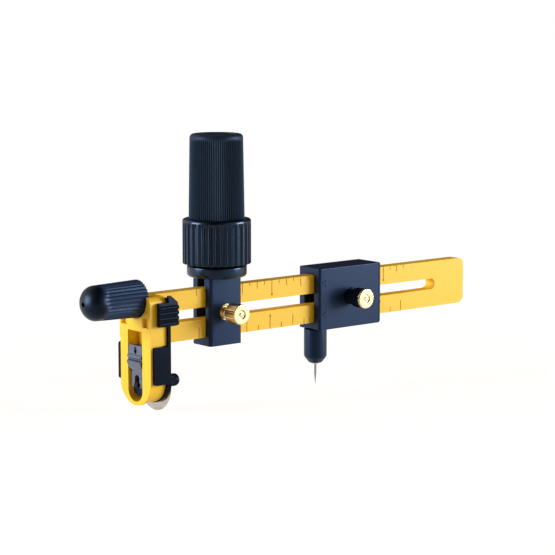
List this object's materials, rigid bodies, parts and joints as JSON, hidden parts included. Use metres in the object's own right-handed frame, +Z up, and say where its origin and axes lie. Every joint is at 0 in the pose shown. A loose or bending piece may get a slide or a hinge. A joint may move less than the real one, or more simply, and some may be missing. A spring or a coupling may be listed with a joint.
{
  "type": "circle cutter",
  "caption": "Compass cutter: slotted ruler arm, rotary blade head with guard, sliding ratchet handle and sliding needle pivot, each locked by a brass screw.",
  "frame": {"origin": "the needle's point", "axes": "+X along the arm away from the blade, -Y out of the scale's face, +Z up towards the handle"},
  "size_m": [0.165, 0.025, 0.0884],
  "materials": {
    "yellow_abs": "moulded yellow ABS, satin gloss",
    "black_abs": "moulded black ABS, satin gloss",
    "steel": "turned steel",
    "spring_steel": "bright rolled spring steel",
    "blade_steel": "ground blade steel",
    "blackened_steel": "turned steel, oil-blackened",
    "brass": "turned and knurled brass"
  },
  "bodies": {
    "arm": {"ruler_arm": "yellow_abs", "blade_head": "yellow_abs", "pin_carrier": "black_abs"},
    "latch": {"pin_latch": "spring_steel"},
    "guard": {"blade_guard": "black_abs"},
    "pin": {"blade_pin": "blackened_steel", "pin_knob": "black_abs"},
    "blade": {"blade": "blade_steel"},
    "cap": {"needle_cap": "black_abs"},
    "handle_carriage": {"handle_block": "black_abs", "handle_bush": "brass", "handle_flange": "black_abs", "handle_spindle": "steel", "cross_pin": "steel", "retaining_clip": "steel", "ratchet_wheel": "blackened_steel"},
    "handle_shoe": {"handle_shoe": "steel"},
    "handle_screw": {"handle_screw": "brass"},
    "handle": {"grip_collar": "black_abs", "handle_grip": "black_abs", "pawl_pin": "steel", "pawl_spring": "spring_steel"},
    "pawl": {"ratchet_pawl": "blackened_steel"},
    "pivot": {"pivot_block": "black_abs", "pivot_bush": "brass", "needle": "steel", "needle_collet": "brass"},
    "pivot_shoe": {"pivot_shoe": "steel"},
    "pivot_screw": {"pivot_screw": "brass", "screw_sleeve": "black_abs"},
    "chuck": {"needle_chuck": "black_abs"}
  },
  "joints": [
    {"name": "latch_lift", "type": "slide", "parent": "arm", "child": "latch", "axis": [0, 0, 1], "range_m": [0, 0.0011]},
    {"name": "guard_slide", "type": "slide", "parent": "arm", "child": "guard", "axis": [0, 0, -1], "range_m": [0, 0.0045]},
    {"name": "pin_pull", "type": "slide", "parent": "arm", "child": "pin", "axis": [1, 0, 0], "range_m": [0, 0.014]},
    {"name": "blade_spin", "type": "hinge", "parent": "pin", "child": "blade", "pos_m": [-0.0685, 0, 0.009], "axis": [1, 0, 0], "continuous": true},
    {"name": "cap_pull", "type": "slide", "parent": "arm", "child": "cap", "axis": [-1, 0, 0], "range_m": [0, 0.012]},
    {"name": "handle_slide", "type": "slide", "parent": "arm", "child": "handle_carriage", "axis": [1, 0, 0], "range_m": [-0.012, 0]},
    {"name": "handle_turn", "type": "hinge", "parent": "handle_carriage", "child": "handle", "pos_m": [-0.04285, 0, 0.0458], "axis": [0, 0, 1], "continuous": true},
    {"name": "pawl_swing", "type": "hinge", "parent": "handle", "child": "pawl", "pos_m": [-0.03485, 0, 0.0495], "axis": [0, 0, -1], "range_deg": [0, 6], "deforming": ["pawl_spring"]},
    {"name": "handle_screw_turn", "type": "hinge", "parent": "handle_shoe", "child": "handle_screw", "pos_m": [-0.04285, -0.01, 0.0301], "axis": [0, -1, 0], "range_deg": [0, 360]},
    {"name": "handle_shoe_lift", "type": "slide", "parent": "handle_carriage", "child": "handle_shoe", "axis": [0, -1, 0], "range_m": [0, 0.0005]},
    {"name": "pivot_slide", "type": "slide", "parent": "arm", "child": "pivot", "axis": [1, 0, 0], "range_m": [-0.03, 0.04]},
    {"name": "pivot_screw_turn", "type": "hinge", "parent": "pivot_shoe", "child": "pivot_screw", "pos_m": [0.01135, -0.01, 0.0301], "axis": [0, -1, 0], "range_deg": [0, 360]},
    {"name": "pivot_shoe_lift", "type": "slide", "parent": "pivot", "child": "pivot_shoe", "axis": [0, -1, 0], "range_m": [0, 0.0005]},
    {"name": "chuck_turn", "type": "hinge", "parent": "pivot", "child": "chuck", "pos_m": [0, 0, 0.015], "axis": [0, 0, 1], "range_deg": [0, 720]}
  ],
  "couplings": [
    {"joint": "handle_screw_turn", "follows": "handle_shoe_lift", "rad_per_m": 12566},
    {"joint": "pivot_screw_turn", "follows": "pivot_shoe_lift", "rad_per_m": 12566}
  ]
}
